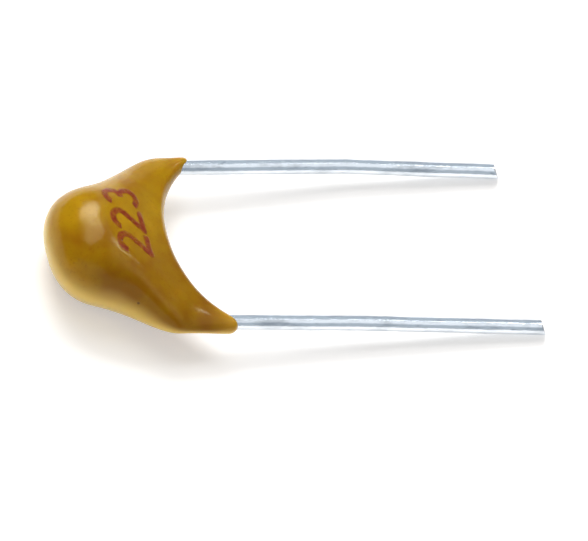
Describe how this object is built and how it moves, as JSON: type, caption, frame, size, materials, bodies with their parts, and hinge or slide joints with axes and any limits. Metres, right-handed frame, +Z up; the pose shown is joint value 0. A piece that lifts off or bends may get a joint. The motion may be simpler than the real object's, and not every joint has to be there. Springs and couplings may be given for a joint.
{
  "type": "multilayer ceramic capacitor",
  "caption": "Dipped radial capacitor: an amber epoxy lump over a layered ceramic chip, with a hollow web between parallel tinned wire leads cut short for soldering into a board.",
  "frame": {"origin": "centre of the bounding box, at the level on which the part rests", "axes": "+X along the leads towards their tips, +Z up from the surface it lies on, +Y towards the left lead"},
  "size_m": [0.0146, 0.0058, 0.0024],
  "materials": {
    "epoxy": "dipped amber epoxy, glossy and slightly uneven",
    "tinned_wire": "tin-plated wire, bright with fine nicks",
    "ceramic": "fired titanate ceramic, matte",
    "electrode_metal": "printed and fired nickel layers",
    "termination_metal": "fired silver with a tin plating",
    "solder": "dull soft solder"
  },
  "bodies": {
    "root": {"epoxy_coat": "epoxy", "left_lead": "tinned_wire", "right_lead": "tinned_wire", "ceramic_body": "ceramic", "left_electrodes": "electrode_metal", "right_electrodes": "electrode_metal", "left_termination": "termination_metal", "right_termination": "termination_metal", "left_solder_joint": "solder", "right_solder_joint": "solder"}
  },
  "joints": []
}
